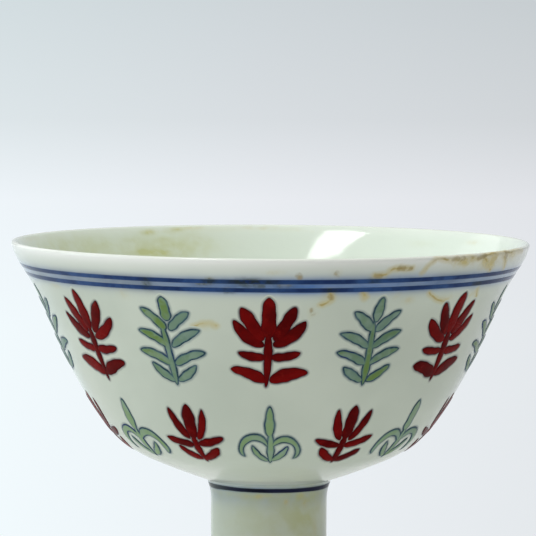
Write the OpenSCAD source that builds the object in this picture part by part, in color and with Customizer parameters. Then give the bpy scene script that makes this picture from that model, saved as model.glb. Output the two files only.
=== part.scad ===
// A porcelain stem cup: a flared bowl luted to a hollow stem, glazed, lined in cobalt and enamelled.
// Millimetres. Z is the turning axis, with the foot ring standing on z = 0.

/* [Bowl] */
// Diameter over the lip
rim_d = 80; // [72:1:92]
// Thickness of the lip's rounded crest, with its glaze
lip_t = 0.8; // [0.8:0.05:1.2]
// Lean just under the crest, in degrees from upright
crest_lean = 15; // [10:1:22]
// Radius of the round below the crest
lip_round = 10; // [7:0.5:13]
// Lean at the foot of the lip, where the wall leans most, in degrees
lip_lean = 33.5; // [30:0.5:38]
// Thickness of the wall at the foot of the lip, with its glaze
wall_t = 1.3; // [1.2:0.1:1.8]
// Radius of the hollow curve that flares the wall
flare_r = 44.5; // [36:0.5:56]
// Lean of the straight part of the wall, in degrees
mid_lean = 22.9; // [19:0.1:25]
// Length of the straight part of the wall
wall_len = 3.9; // [2:0.1:6]
// Radius of the long curve above the belly
belly_r = 72; // [60:1:84]
// Lean where the belly turns in, in degrees
belly_lean = 35.1; // [31:0.1:39]
// Radius of the belly's tight turn
turn_r = 17; // [14:0.1:20]
// Lean where the underside begins, in degrees
base_lean = 66.2; // [60:0.1:71]
// Radius of the shallow curve under the bowl
base_r = 102; // [78:1:132]
// Thickness of the bowl at the foot of its wall, with its glaze
base_t = 3; // [2.2:0.1:4]

/* [Stem] */
// Diameter of the stem at its narrowest, with its glaze
stem_d = 18; // [16:0.1:21]
// Height from the table to the crease under the bowl
stem_h = 43; // [38:0.1:60]
// Thickness of the stem's clay wall
stem_t = 2.8; // [2:0.1:3.6]
// Diameter over the foot
foot_d = 35; // [30:1:40]
// Lean of the skirt at the foot, in degrees from upright
foot_lean = 34; // [30:1:45]
// Height of the foot's upright edge
foot_edge = 2.6; // [2.2:0.1:4]
// Bevel on both edges of the foot ring
foot_bevel = 0.5; // [0.3:0.1:0.7]

/* [Joint] */
// Height of the upright edge at the stem's head
neck_edge = 0.3; // [0.3:0.1:0.8]
// Radius of the hollow curve below the stem's head
neck_r = 8; // [6:0.5:12]
// Lean at the top of that curve, in degrees
neck_lean = 21; // [15:1:26]
// Length of the tenon under the bowl
tenon_len = 2.4; // [1.6:0.1:4]
// Slip between the tenon and the bore
tenon_gap = 0.3; // [0.2:0.05:0.5]

/* [Glaze] */
// Thickness of the glaze
glaze_t = 0.3; // [0.2:0.05:0.35]
// Height above the table at which the outer glaze stops
glaze_stop = 1.2; // [0.9:0.1:1.8]

/* [Painted lines] */
// Width of the lines under the lip
rim_line_w = 0.7; // [0.4:0.05:0.9]
// Way down the wall from the lip to the upper line
rim_line_drop = 3.3; // [2.6:0.05:4.6]
// Way between the middles of the two rim lines
rim_line_gap = 1.5; // [1.1:0.1:2.5]
// Height of the line at the stem's head
stem_line_w = 0.6; // [0.4:0.05:0.6]
// Drop from the foot of the head's upright edge to the middle of the stem line
stem_line_drop = 0.45; // [0.45:0.05:1]
// Width of the lines above the foot
foot_line_w = 0.5; // [0.4:0.05:0.8]
// Way up the skirt from the foot's edge to the lower line
foot_line_rise = 1.6; // [1.2:0.1:3]
// Way between the middles of the two foot lines
foot_line_gap = 1.4; // [1:0.1:2.5]

/* [Enamel] */
// Thickness of the enamels
enamel_t = 0.15; // [0.1:0.05:0.25]
// Ornaments of each colour in a row
repeats = 7; // [5:1:8]
// Way down the wall from the lip to the middle of the upper row
upper_drop = 13.8; // [13:0.1:14.9]
// Height of the upper ornaments
upper_h = 15.4; // [11:0.1:16]
// Clear space between neighbours in the upper row
upper_gap = 4.4; // [2:0.1:7]
// Way down the wall from the lip to the middle of the lower row
lower_drop = 30.9; // [29.5:0.1:32.3]
// Height of the lower ornaments
lower_h = 12.4; // [8:0.1:13]
// Clear space between neighbours in the lower row
lower_gap = 1.8; // [1.2:0.1:4]

/* [Hidden] */
$fn = 96;

// Longest chord along a turned profile
chord = 2;
// Chords over the half round of the lip, and points along an ornament's leaf
lip_steps = 8;
leaf_steps = 8;
// Half the reach of an ornament through the wall
reach = 4;

// Outward direction, and the way down, on a wall that leans in by a on its way down
function outward(a) = [cos(a), -sin(a)];
function downward(a) = [-sin(a), -cos(a)];
function degrees_of(x) = x * 180 / PI;
function reversed(l) = [for (i = [len(l) - 1:-1:0]) l[i]];
function last(l) = l[len(l) - 1];

// A station is a point of the glazed surface with the push that one millimetre of offset gives it
function arc_at(p, a, r, h) = [p + r * (outward(h) - outward(a)), outward(h)];
function mitre(p, n, m) = [p, (n + m) / (1 + n * m)];
function pushed(l, t) = [for (q = l) q[0] + t * q[1]];
function band(l, t0, t1) = concat(pushed(l, t1), reversed(pushed(l, t0)));

// Joint of bowl and stem
stem_r = stem_d / 2;
joint_r = stem_r + neck_r * (1 - cos(neck_lean));
bore_r = stem_r - glaze_t - stem_t;
tenon_r = bore_r - tenon_gap;

// Outside of the bowl, from the lip down to the crease, first with the lip's top at zero
lip_r = lip_t / 2;
lip_start = [rim_d / 2 - lip_r, -lip_r] + lip_r * outward(crest_lean);
lip_end = arc_at(lip_start, crest_lean, lip_round, lip_lean)[0];
flare_end = arc_at(lip_end, lip_lean, -flare_r, mid_lean)[0];
wall_end = flare_end + wall_len * downward(mid_lean);
belly_end = arc_at(wall_end, mid_lean, belly_r, belly_lean)[0];
turn_end = arc_at(belly_end, belly_lean, turn_r, base_lean)[0];
end_lean = acos((joint_r - turn_end[0]) / base_r + cos(base_lean));
bowl_depth = -arc_at(turn_end, base_lean, base_r, end_lean)[0][1];
total_h = stem_h + bowl_depth;
lift = [0, total_h];
s_lip = lip_round * (lip_lean - crest_lean) * PI / 180;
s_flare = s_lip + flare_r * (lip_lean - mid_lean) * PI / 180;
s_wall = s_flare + wall_len;
s_belly = s_wall + belly_r * (belly_lean - mid_lean) * PI / 180;
s_turn = s_belly + turn_r * (base_lean - belly_lean) * PI / 180;
s_end = s_turn + base_r * (end_lean - base_lean) * PI / 180;

// Station at a way s down the outside of the bowl, and the lean there
function lean_at(s) =
    s < s_lip ? crest_lean + degrees_of(s / lip_round) :
    s < s_flare ? lip_lean - degrees_of((s - s_lip) / flare_r) :
    s < s_wall ? mid_lean :
    s < s_belly ? mid_lean + degrees_of((s - s_wall) / belly_r) :
    s < s_turn ? belly_lean + degrees_of((s - s_belly) / turn_r) :
    base_lean + degrees_of((s - s_turn) / base_r);
function wall_at(s) =
    s < s_lip ? arc_at(lip_start + lift, crest_lean, lip_round, lean_at(s)) :
    s < s_flare ? arc_at(lip_end + lift, lip_lean, -flare_r, lean_at(s)) :
    s < s_wall ? [flare_end + lift + (s - s_flare) * downward(mid_lean), outward(mid_lean)] :
    s < s_belly ? arc_at(wall_end + lift, mid_lean, belly_r, lean_at(s)) :
    s < s_turn ? arc_at(belly_end + lift, belly_lean, turn_r, lean_at(s)) :
    arc_at(turn_end + lift, base_lean, base_r, lean_at(s));
function wall_part(a, b) =
    let (n = max(1, ceil((b - a) / chord)))
    [for (i = [0:n]) wall_at(a + (b - a) * i / n)];

// The wall cut at the edges of the two rim lines
upper_a = rim_line_drop - rim_line_w / 2;
upper_b = rim_line_drop + rim_line_w / 2;
lower_a = upper_a + rim_line_gap;
lower_b = upper_b + rim_line_gap;
wall_top = wall_part(0, upper_a);
wall_upper = wall_part(upper_a, upper_b);
wall_between = wall_part(upper_b, lower_a);
wall_lower = wall_part(lower_a, lower_b);
wall_rest = wall_part(lower_b, s_end);
crease = mitre([joint_r, stem_h], outward(end_lean), [1, 0]);
wall_under = concat([for (i = [0:len(wall_rest) - 2]) wall_rest[i]], [crease]);
outside = concat(wall_top, wall_upper, wall_between, wall_lower, wall_under);

// Inside of the bowl at a glaze offset t, thickening from the crest to the base, then a round floor
function ease(u) = u * u * (3 - 2 * u);
function thickness(s) =
    s < s_lip ? lip_t + (wall_t - lip_t) * sin(90 * s / s_lip) :
    wall_t + (base_t - wall_t) * ease((s - s_lip) / (s_end - s_lip));
inside_ways = [for (i = [0:ceil(s_end / chord)]) s_end * i / ceil(s_end / chord)];
function inside_wall(t) = [for (s = inside_ways) wall_at(s)[0] - (thickness(s) + t) * wall_at(s)[1]];
floor_r = last(inside_wall(0))[0] / cos(end_lean);
floor_z = last(inside_wall(0))[1] + floor_r * sin(end_lean);
floor_steps = ceil(last(inside_wall(0))[0] / chord);
function floor_arc(t) =
    [for (i = [1:floor_steps]) let (a = end_lean + (90 - end_lean) * i / floor_steps)
        [i == floor_steps ? 0 : (floor_r - t) * cos(a), floor_z - (floor_r - t) * sin(a)]];
function lip_arc(t) =
    [for (i = [1:lip_steps - 1]) let (a = 180 * i / lip_steps - crest_lean)
        [rim_d / 2 - lip_r, total_h - lip_r] + (lip_r + t) * [cos(a), sin(a)]];
function over_lip(t) = concat(lip_arc(t), inside_wall(t), floor_arc(t));

// Outside of the stem: upright head, hollow neck, waist, skirt and foot
neck_z = stem_h - neck_edge - neck_r * sin(neck_lean);
skirt_r = (foot_d / 2 - stem_r) / (1 - cos(foot_lean));
skirt_z = foot_edge + skirt_r * sin(foot_lean);
function neck_at(z) =
    let (a = asin((z - neck_z) / neck_r))
    [[stem_r + neck_r * (1 - cos(a)), z], outward(a)];
function skirt_at(a) = [[stem_r + skirt_r * (1 - cos(a)), skirt_z - skirt_r * sin(a)], outward(-a)];
function skirt_part(a, b) =
    let (n = max(1, ceil((b - a) * PI / 180 * skirt_r / chord)))
    [for (i = [0:n]) skirt_at(a + (b - a) * i / n)];
head = mitre([joint_r, stem_h - neck_edge], [1, 0], outward(neck_lean));
stem_line_a = stem_h - neck_edge - stem_line_drop + stem_line_w / 2;
stem_line_b = stem_h - neck_edge - stem_line_drop - stem_line_w / 2;
neck_rest = [for (i = [0:3]) neck_at(stem_line_b + (neck_z - stem_line_b) * i / 3)];
foot_up_a = foot_lean - degrees_of((foot_line_rise + foot_line_gap + foot_line_w / 2) / skirt_r);
foot_up_b = foot_lean - degrees_of((foot_line_rise + foot_line_gap - foot_line_w / 2) / skirt_r);
foot_low_a = foot_lean - degrees_of((foot_line_rise + foot_line_w / 2) / skirt_r);
foot_low_b = foot_lean - degrees_of((foot_line_rise - foot_line_w / 2) / skirt_r);
foot_corner = mitre([foot_d / 2, foot_edge], outward(-foot_lean), [1, 0]);
glaze_end = [[foot_d / 2, glaze_stop], [1, 0]];
skirt_low = skirt_part(foot_low_b, foot_lean);
foot_part = concat([for (i = [0:len(skirt_low) - 2]) skirt_low[i]], [foot_corner, glaze_end]);
neck_part = [neck_at(stem_line_a), neck_at(stem_line_b)];
waist_part = concat(neck_rest, skirt_part(0, foot_up_a));
up_part = skirt_part(foot_up_a, foot_up_b);
mid_part = skirt_part(foot_up_b, foot_low_a);
low_part = skirt_part(foot_low_a, foot_low_b);

// Levels in the joint
slip_top = pushed([crease], -glaze_t)[0];
slip_low = pushed([head], -glaze_t)[0];
tenon_z = slip_top[1] - tenon_len;

// Bore of the stem at an offset from the glazed outside, from the foot's inner corner upwards
bore_t = -(glaze_t + stem_t);
skirt_in = skirt_part(0, foot_lean);
function bore(t) = reversed(concat(pushed([for (i = [0:len(skirt_in) - 2]) skirt_in[i]], t),
                                   pushed([foot_corner], t)));

module turned(points) {
    rotate_extrude() polygon(points);
}

// A blunt brush stroke of a given length and width from a point, starting along dir and curving by bend.
// It is drawn in the box $drawn and spread to fill the box $room
module leaf(from, dir, length, width, bend) {
    fit = [$room[0] / $drawn[0], $room[1] / $drawn[1]];
    b = abs(bend) < 0.5 ? 0.5 : bend;
    k = length / (b * PI / 180);
    ways = [for (i = [0:leaf_steps]) (1 - cos(180 * i / leaf_steps)) / 2];
    spine = [for (t = ways) from + k * [cos(dir) - cos(dir + b * t), sin(dir + b * t) - sin(dir)]];
    sides = [for (t = ways) width / 2 * pow(1 - pow(abs(2 * t - 1), 3), 0.6) * (1.1 - 0.25 * t)
        * [cos(dir + b * t), -sin(dir + b * t)]];
    right = [for (i = [0:leaf_steps]) spine[i] + sides[i]];
    left = [for (i = [leaf_steps - 1:-1:1]) spine[i] - sides[i]];
    polygon([for (p = concat(right, left)) [p[0] * fit[0], p[1] * fit[1]]]);
}

// The same stroke on both sides of the middle
module leaf_pair(from, dir, length, width, bend) {
    for (side = [-1, 1]) leaf([side * from[0], from[1]], side * dir, length, width, side * bend);
}

// Lotus on a leafy stalk
module lotus() {
    $drawn = [10.8, 15.4];
    leaf([0, 0.6], 0, 7.1, 2.3, 0);
    leaf([0, 2], 180, 9.7, 1.4, 0);
    leaf_pair([0.7, 0.4], 34, 6.6, 2, -8);
    leaf_pair([0.6, -0.4], 72, 6.3, 1.8, -40);
    leaf_pair([0.2, -2.2], 96, 4.6, 1.4, -30);
    leaf_pair([0.2, -6.6], 50, 6, 2, 36);
}

// Leafy spray
module spray() {
    $drawn = [10.4, 15.4];
    leaf([0, -7.6], 0, 11.6, 1.3, 0);
    leaf([0, 3.2], 0, 4.5, 1.8, 0);
    leaf_pair([0.2, 1.7], 34, 5, 1.6, 26);
    leaf_pair([0.2, -1.1], 40, 5.6, 1.6, 36);
    leaf_pair([0.2, -4], 46, 5.6, 1.6, 40);
    leaf_pair([0.2, -6.9], 60, 4.6, 1.5, -20);
}

// Bud between leaves
module bud() {
    $drawn = [11.2, 12];
    leaf([0, -0.4], 0, 6.4, 2.3, 0);
    leaf([0, 0.4], 180, 6.4, 1.3, 0);
    leaf_pair([0.8, -0.6], 38, 6.2, 1.5, -30);
    leaf_pair([0.3, -1.6], 84, 5.4, 1.5, -24);
    leaf_pair([0.1, -5.2], 66, 4.8, 1.5, -30);
}

// Cloud head with two curls
module cloud() {
    $drawn = [12, 12];
    leaf([0, 0.2], 0, 5.8, 2, 0);
    leaf([0, 1.2], 180, 7.2, 1.4, 0);
    leaf_pair([0.3, -1.8], 14, 9.6, 1.5, 214);
    leaf_pair([0.1, -5.2], 62, 5, 1.4, -40);
}

// Puts a flat ornament on the wall at a way s down from the lip, at a bearing
module on_wall(s, bearing) {
    p = wall_at(s)[0];
    rotate([0, 0, bearing])
        translate([p[0], 0, p[1]])
            rotate([0, lean_at(s), 0])
                rotate([90, 0, 90])
                    translate([0, 0, -reach])
                        linear_extrude(height = 2 * reach) children();
}

// Every other place of a row, with the ornaments cut to a layer on the glaze
module row(s, high, gap, first) {
    $room = [PI * wall_at(s)[0][0] / repeats - gap, high];
    mid = wall_at(s)[0][1];
    layer = [for (q = wall_under) if (abs(q[0][1] - mid) < high / 2 + chord) q];
    intersection() {
        turned(band(layer, 0, enamel_t));
        union() {
            for (i = [0:repeats - 1]) on_wall(s, first - 90 + 360 * i / repeats) children();
        }
    }
}

module bowl() {
    tenon = [[0, tenon_z], [tenon_r, tenon_z], [tenon_r, slip_top[1]]];
    color("gainsboro")
        turned(concat(reversed(pushed(outside, -glaze_t)), over_lip(-glaze_t), tenon));
}

module stem() {
    foot_r = foot_d / 2 - glaze_t;
    ring_r = foot_d / 2 + bore_t;
    foot = [[foot_r, foot_bevel], [foot_r - foot_bevel, 0], [ring_r + foot_bevel, 0], [ring_r, foot_bevel]];
    sides = concat([head], neck_part, waist_part, up_part, mid_part, low_part, foot_part);
    color("silver")
        turned(concat(pushed(sides, -glaze_t), foot, bore(bore_t), [[bore_r, slip_low[1]]]));
}

module luting_slip() {
    color("tan")
        turned([[tenon_r, slip_top[1]], slip_top, slip_low, [bore_r, slip_low[1]], [bore_r, tenon_z],
                [tenon_r, tenon_z]]);
}

module glaze_coat() {
    color("lightcyan") {
        turned(concat(reversed(pushed(wall_top, 0)), over_lip(0), reversed(over_lip(-glaze_t)),
                      pushed(wall_top, -glaze_t)));
        turned(band(wall_between, -glaze_t, 0));
        turned(band(concat(wall_under, [head, neck_part[0]]), -glaze_t, 0));
        turned(band(waist_part, -glaze_t, 0));
        turned(band(mid_part, -glaze_t, 0));
        turned(band(foot_part, -glaze_t, 0));
    }
}

module stem_liner_glaze() {
    top = [[bore_r, tenon_z], [0, tenon_z], [0, tenon_z - glaze_t], [bore_r - glaze_t, tenon_z - glaze_t]];
    color("azure") turned(concat(bore(bore_t), top, reversed(bore(bore_t - glaze_t))));
}

module rim_line_upper() {
    color("royalblue") turned(band(wall_upper, -glaze_t, 0));
}

module rim_line_lower() {
    color("royalblue") turned(band(wall_lower, -glaze_t, 0));
}

module stem_line() {
    color("midnightblue") turned(band(neck_part, -glaze_t, 0));
}

module foot_line_upper() {
    color("royalblue") turned(band(up_part, -glaze_t, 0));
}

module foot_line_lower() {
    color("royalblue") turned(band(low_part, -glaze_t, 0));
}

module red_enamel_upper() {
    color("firebrick") row(upper_drop, upper_h, upper_gap, 0) lotus();
}

module green_enamel_upper() {
    color("mediumseagreen") row(upper_drop, upper_h, upper_gap, 180 / repeats) spray();
}

module red_enamel_lower() {
    color("firebrick") row(lower_drop, lower_h, lower_gap, 180 / repeats) bud();
}

module green_enamel_lower() {
    color("mediumseagreen") row(lower_drop, lower_h, lower_gap, 0) cloud();
}

bowl();
stem();
luting_slip();
glaze_coat();
stem_liner_glaze();
rim_line_upper();
rim_line_lower();
stem_line();
foot_line_upper();
foot_line_lower();
red_enamel_upper();
green_enamel_upper();
red_enamel_lower();
green_enamel_lower();
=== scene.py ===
import random
from math import acos, asin, cos, degrees, dist, exp, pi, radians, sin
import bpy
from mathutils import Matrix, Vector


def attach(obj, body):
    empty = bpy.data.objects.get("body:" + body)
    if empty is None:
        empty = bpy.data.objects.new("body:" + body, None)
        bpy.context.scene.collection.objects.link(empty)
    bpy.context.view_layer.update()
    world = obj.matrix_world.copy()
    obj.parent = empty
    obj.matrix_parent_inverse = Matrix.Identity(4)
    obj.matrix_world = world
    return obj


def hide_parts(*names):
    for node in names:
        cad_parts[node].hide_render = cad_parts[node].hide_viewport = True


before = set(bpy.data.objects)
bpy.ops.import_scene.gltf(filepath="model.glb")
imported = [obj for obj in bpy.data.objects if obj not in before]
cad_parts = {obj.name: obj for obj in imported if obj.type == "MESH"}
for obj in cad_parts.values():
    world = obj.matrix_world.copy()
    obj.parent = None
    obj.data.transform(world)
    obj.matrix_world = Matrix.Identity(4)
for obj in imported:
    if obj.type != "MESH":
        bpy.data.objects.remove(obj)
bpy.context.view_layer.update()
print("stage: frame loaded,", len(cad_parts), "nodes")

mm = 0.001  # sizes below are in millimetres


# Shader helpers

def rgb(r, g, b):  # a colour as seen on screen, 0 to 255, made linear
    lin = [c / 255 / 12.92 if c < 10.3 else ((c / 255 + 0.055) / 1.055) ** 2.4 for c in (r, g, b)]
    return (*lin, 1.0)


def mathsOf(operation, swapped=False):  # an operator of the class below
    def made(self, b):
        return self.calc(operation, b, self) if swapped else self.calc(operation, self, b)

    return made


class Wire:  # one output socket, so that masks are written as sums
    def __init__(self, tree, socket=None):
        self.tree = tree
        self.socket = socket

    def node(self, kind, settings=None, inputs=None, output=0):
        made = self.tree.nodes.new("ShaderNode" + kind)
        for key, value in (settings or {}).items():
            if key == "stops":
                ramp = made.color_ramp.elements
                while len(ramp) < len(value):
                    ramp.new(0.5)
                for stop, (at, colour) in zip(ramp, value):
                    stop.position = at
                    stop.color = colour
            else:
                setattr(made, key, value)
        for key, value in (inputs or {}).items():
            if isinstance(value, Wire):
                self.tree.links.new(value.socket, made.inputs[key])
            else:
                made.inputs[key].default_value = value
        return Wire(self.tree, made.outputs[output]) if len(made.outputs) else None

    def calc(self, operation, a, b):
        return self.node("Math", {"operation": operation}, {0: a, 1: b})

    __add__, __radd__ = mathsOf("ADD"), mathsOf("ADD", True)
    __sub__, __rsub__ = mathsOf("SUBTRACT"), mathsOf("SUBTRACT", True)
    __mul__, __rmul__ = mathsOf("MULTIPLY"), mathsOf("MULTIPLY", True)
    __truediv__, __rtruediv__ = mathsOf("DIVIDE"), mathsOf("DIVIDE", True)
    most, least = mathsOf("MAXIMUM"), mathsOf("MINIMUM")

    def vector(self, operation, a, b, output="Vector"):
        return self.node("VectorMath", {"operation": operation}, {0: a, 1: b}, output)

    def rise(self, low, high):  # smooth step, 0 at low and 1 at high
        return self.node("MapRange", {"interpolation_type": "SMOOTHSTEP"},
                         {"Value": self, "From Min": low, "From Max": high})

    def tint(self, a, b):  # colour a where this mask is 0, colour b where it is 1
        return self.node("Mix", {"data_type": "RGBA"}, {0: self, 6: a, 7: b}, 2)


def startMaterial(name):
    material = bpy.data.materials.new(name)
    material.use_nodes = True
    material.node_tree.nodes.clear()
    return material, Wire(material.node_tree)


def endMaterial(root, inputs):
    shader = root.node("BsdfPrincipled", None, inputs)
    root.node("OutputMaterial", None, {"Surface": shader})


def mottle(place, scale, detail=3.0, rough=0.5, warp=0.0):
    return place.node("TexNoise", None, {"Vector": place, "Scale": scale, "Detail": detail,
                                               "Roughness": rough, "Distortion": warp})


def layerOf(root, name):  # a value kept on the mesh's points
    return root.node("Attribute", {"attribute_name": name}, None, "Fac")


def placeOf(root):
    return root.node("TexCoord", None, None, "Object")


def bumpOf(height, strength, depth):
    return height.node("Bump", None, {"Strength": strength, "Distance": depth, "Height": height})


# Profile of the cup, from the same sizes as the solids

cup = {
    "rimD": 80, "lipT": 0.8, "crestLean": 15, "lipRound": 10, "lipLean": 33.5, "flareR": 44.5,
    "lipEase": 0.037, "lipFill": 0.52, "lipRoll": 0.0775, "lipRollWay": 0.2,
    "midLean": 22.9, "wallLen": 3.9, "bellyR": 72, "bellyLean": 35.1, "turnR": 17,
    "baseLean": 66.2, "baseR": 102, "baseT": 3,
    "stemD": 18, "stemH": 43, "stemT": 2.8, "footD": 35, "footLean": 34, "footEdge": 2.6, "footBevel": 0.5,
    "neckEdge": 0.3, "neckR": 8, "neckLean": 21, "tenonLen": 2.4, "glazeT": 0.3, "glazeStop": 1.2,
    "rimLineDrop": 3.3, "rimLineGap": 1.5, "stemLineDrop": 0.75, "footLineRises": (3.0, 1.6),
}
lipR = cup["lipT"] / 2
stemR = cup["stemD"] / 2
jointR = stemR + cup["neckR"] * (1 - cos(radians(cup["neckLean"])))
boreR = stemR - cup["glazeT"] - cup["stemT"]


def followRun(spot, radius, way):  # carry a point and lean a way down a straight or round run
    r, z, lean = spot
    if radius is None:
        return r - way * sin(lean), z - way * cos(lean), lean
    end = lean + way / radius
    return (r + radius * (cos(end) - cos(lean)), z - radius * (sin(end) - sin(lean)), end)


def turnWay(radius, a, b):
    return abs(radius) * radians(abs(b - a))


crestLean = radians(cup["crestLean"])
lipStart = (cup["rimD"] / 2 - lipR + lipR * cos(crestLean), -lipR - lipR * sin(crestLean),
            crestLean)
wallRuns = [
    (cup["lipRound"], turnWay(cup["lipRound"], cup["crestLean"], cup["lipLean"])),
    (-cup["flareR"], turnWay(cup["flareR"], cup["lipLean"], cup["midLean"])),
    (None, cup["wallLen"]),
    (cup["bellyR"], turnWay(cup["bellyR"], cup["midLean"], cup["bellyLean"])),
    (cup["turnR"], turnWay(cup["turnR"], cup["bellyLean"], cup["baseLean"])),
]
spot = lipStart
for runR, runWay in wallRuns:
    spot = followRun(spot, runR, runWay)
endLean = acos((jointR - spot[0]) / cup["baseR"] + cos(spot[2]))
wallRuns.append((cup["baseR"], cup["baseR"] * (endLean - spot[2])))
lipWay = wallRuns[0][1]
wallEnd = sum(run[1] for run in wallRuns)
totalH = cup["stemH"] - followRun(spot, *wallRuns[-1])[1]


def wallAt(s):  # radius, height and outward direction a way s down the outside from the crest
    spot = (lipStart[0], lipStart[1] + totalH, lipStart[2])
    for runR, runWay in wallRuns:
        spot = followRun(spot, runR, min(s, runWay))
        s -= runWay
        if s <= 0:
            break
    return spot[0], spot[1], cos(spot[2]), -sin(spot[2])


def crestAt(turn, radius=lipR):  # radius and height on the lip's round crest
    return cup["rimD"] / 2 - lipR + radius * cos(turn), totalH - lipR + radius * sin(turn)


def roundAt(r, angle, z):  # a point about the axis, in metres
    return r * cos(angle) * mm, r * sin(angle) * mm, z * mm


def spotAt(bearing, way):  # a point on the outside; ways below 0 lie on the crest
    r, z = wallAt(way)[:2] if way >= 0 else crestAt(-way / lipR - crestLean)
    return roundAt(r, radians(bearing - 90), z)  # the front faces -Y


def wallThick(s):  # from the outside to the inside, fuller just under the crest
    u = min(s / lipWay, 1)
    thick = cup["lipT"] + cup["lipEase"] + cup["lipFill"] * (1 - (1 - u) ** 2)
    thick += cup["lipRoll"] * (1 - exp(-u / cup["lipRollWay"]))
    u = max((s - lipWay) / (wallEnd - lipWay), 0)
    return thick + (cup["baseT"] - thick) * u * u * (3 - 2 * u)


neckZ = cup["stemH"] - cup["neckEdge"] - cup["neckR"] * sin(radians(cup["neckLean"]))
skirtR = (cup["footD"] / 2 - stemR) / (1 - cos(radians(cup["footLean"])))
skirtZ = cup["footEdge"] + skirtR * sin(radians(cup["footLean"]))


def neckAt(z):
    a = asin((z - neckZ) / cup["neckR"])
    return stemR + cup["neckR"] * (1 - cos(a)), z, cos(a), -sin(a)


def skirtAt(a):  # a in degrees, 0 at the waist
    a = radians(a)
    return stemR + skirtR * (1 - cos(a)), skirtZ - skirtR * sin(a), cos(a), sin(a)


def shifted(station, push):
    return station[0] + push * station[2], station[1] + push * station[3]


def pushed(stations, push):
    return [shifted(station, push) for station in stations]


def spread(a, b, count):
    return [a + (b - a) * i / count for i in range(count + 1)]


def eased(a, b, c, count):  # a soft corner at b between a and c
    return [tuple((1 - t) ** 2 * a[i] + 2 * t * (1 - t) * b[i] + t * t * c[i] for i in (0, 1))
            for t in spread(0, 1, count)]


def bell(x, middle, reach):  # 1 at the middle, less on both sides
    return exp(-((x - middle) / reach) ** 2)


def offFrom(bearing, front):  # degrees to the right of a bearing, -180 to 180
    return (bearing - front + 180) % 360 - 180


def facing(bearing, front):  # 1 on the side that faces a bearing, 0 on the other
    return max(0, cos(radians(bearing - front)))


# Mesh helpers

def turnProfile(profile, segments):  # a closed profile of radius and height turned round the axis
    points, faces, corners, rings = [], [], [], []
    ways = [0.0]
    for a, b in zip(profile, profile[1:] + profile[:1]):
        ways.append(ways[-1] + dist(a, b))
    for r, z in profile:
        count = 1 if r < 1e-6 else segments
        rings.append((len(points), count))
        points += [roundAt(r, 2 * pi * j / segments, z) for j in range(count)]
    for i in range(len(profile)):
        (a, na), (b, nb) = rings[i], rings[(i + 1) % len(profile)]
        va, vb = ways[i] / ways[-1], ways[i + 1] / ways[-1]
        if na == 1 and nb == 1:
            continue
        for j in range(segments):
            k = (j + 1) % segments
            u, w = j / segments, (j + 1) / segments
            if na == 1:
                faces.append((a, b + k, b + j))
                corners += [(u + w) / 2, va, w, vb, u, vb]
            elif nb == 1:
                faces.append((a + j, a + k, b))
                corners += [u, va, w, va, (u + w) / 2, vb]
            else:
                faces.append((a + j, a + k, b + k, b + j))
                corners += [u, va, w, va, w, vb, u, vb]
    return points, faces, corners, rings


def linked(name, data):  # a new object in the scene
    made = bpy.data.objects.new(name, data)
    bpy.context.scene.collection.objects.link(made)
    return made


def makePiece(name, made, layers, material, slot, nodes):
    points, faces, corners = made
    mesh = bpy.data.meshes.new(name)
    mesh.from_pydata(points, [], faces)
    for key, values in layers.items():
        mesh.attributes.new(key, "FLOAT", "POINT").data.foreach_set("value", values)
    mesh.uv_layers.new(name="OFBake").data.foreach_set("uv", corners)
    mesh.polygons.foreach_set("use_smooth", [True] * len(mesh.polygons))
    mesh.materials.append(material)
    mesh.update()
    piece = linked(name, mesh)
    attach(piece, "root")
    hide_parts(*nodes)
    return piece


def ringLayer(rings, values):  # one value for each ring of a turned piece
    return [v for (start, count), v in zip(rings, values) for i in range(count)]


# Glaze coat

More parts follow.
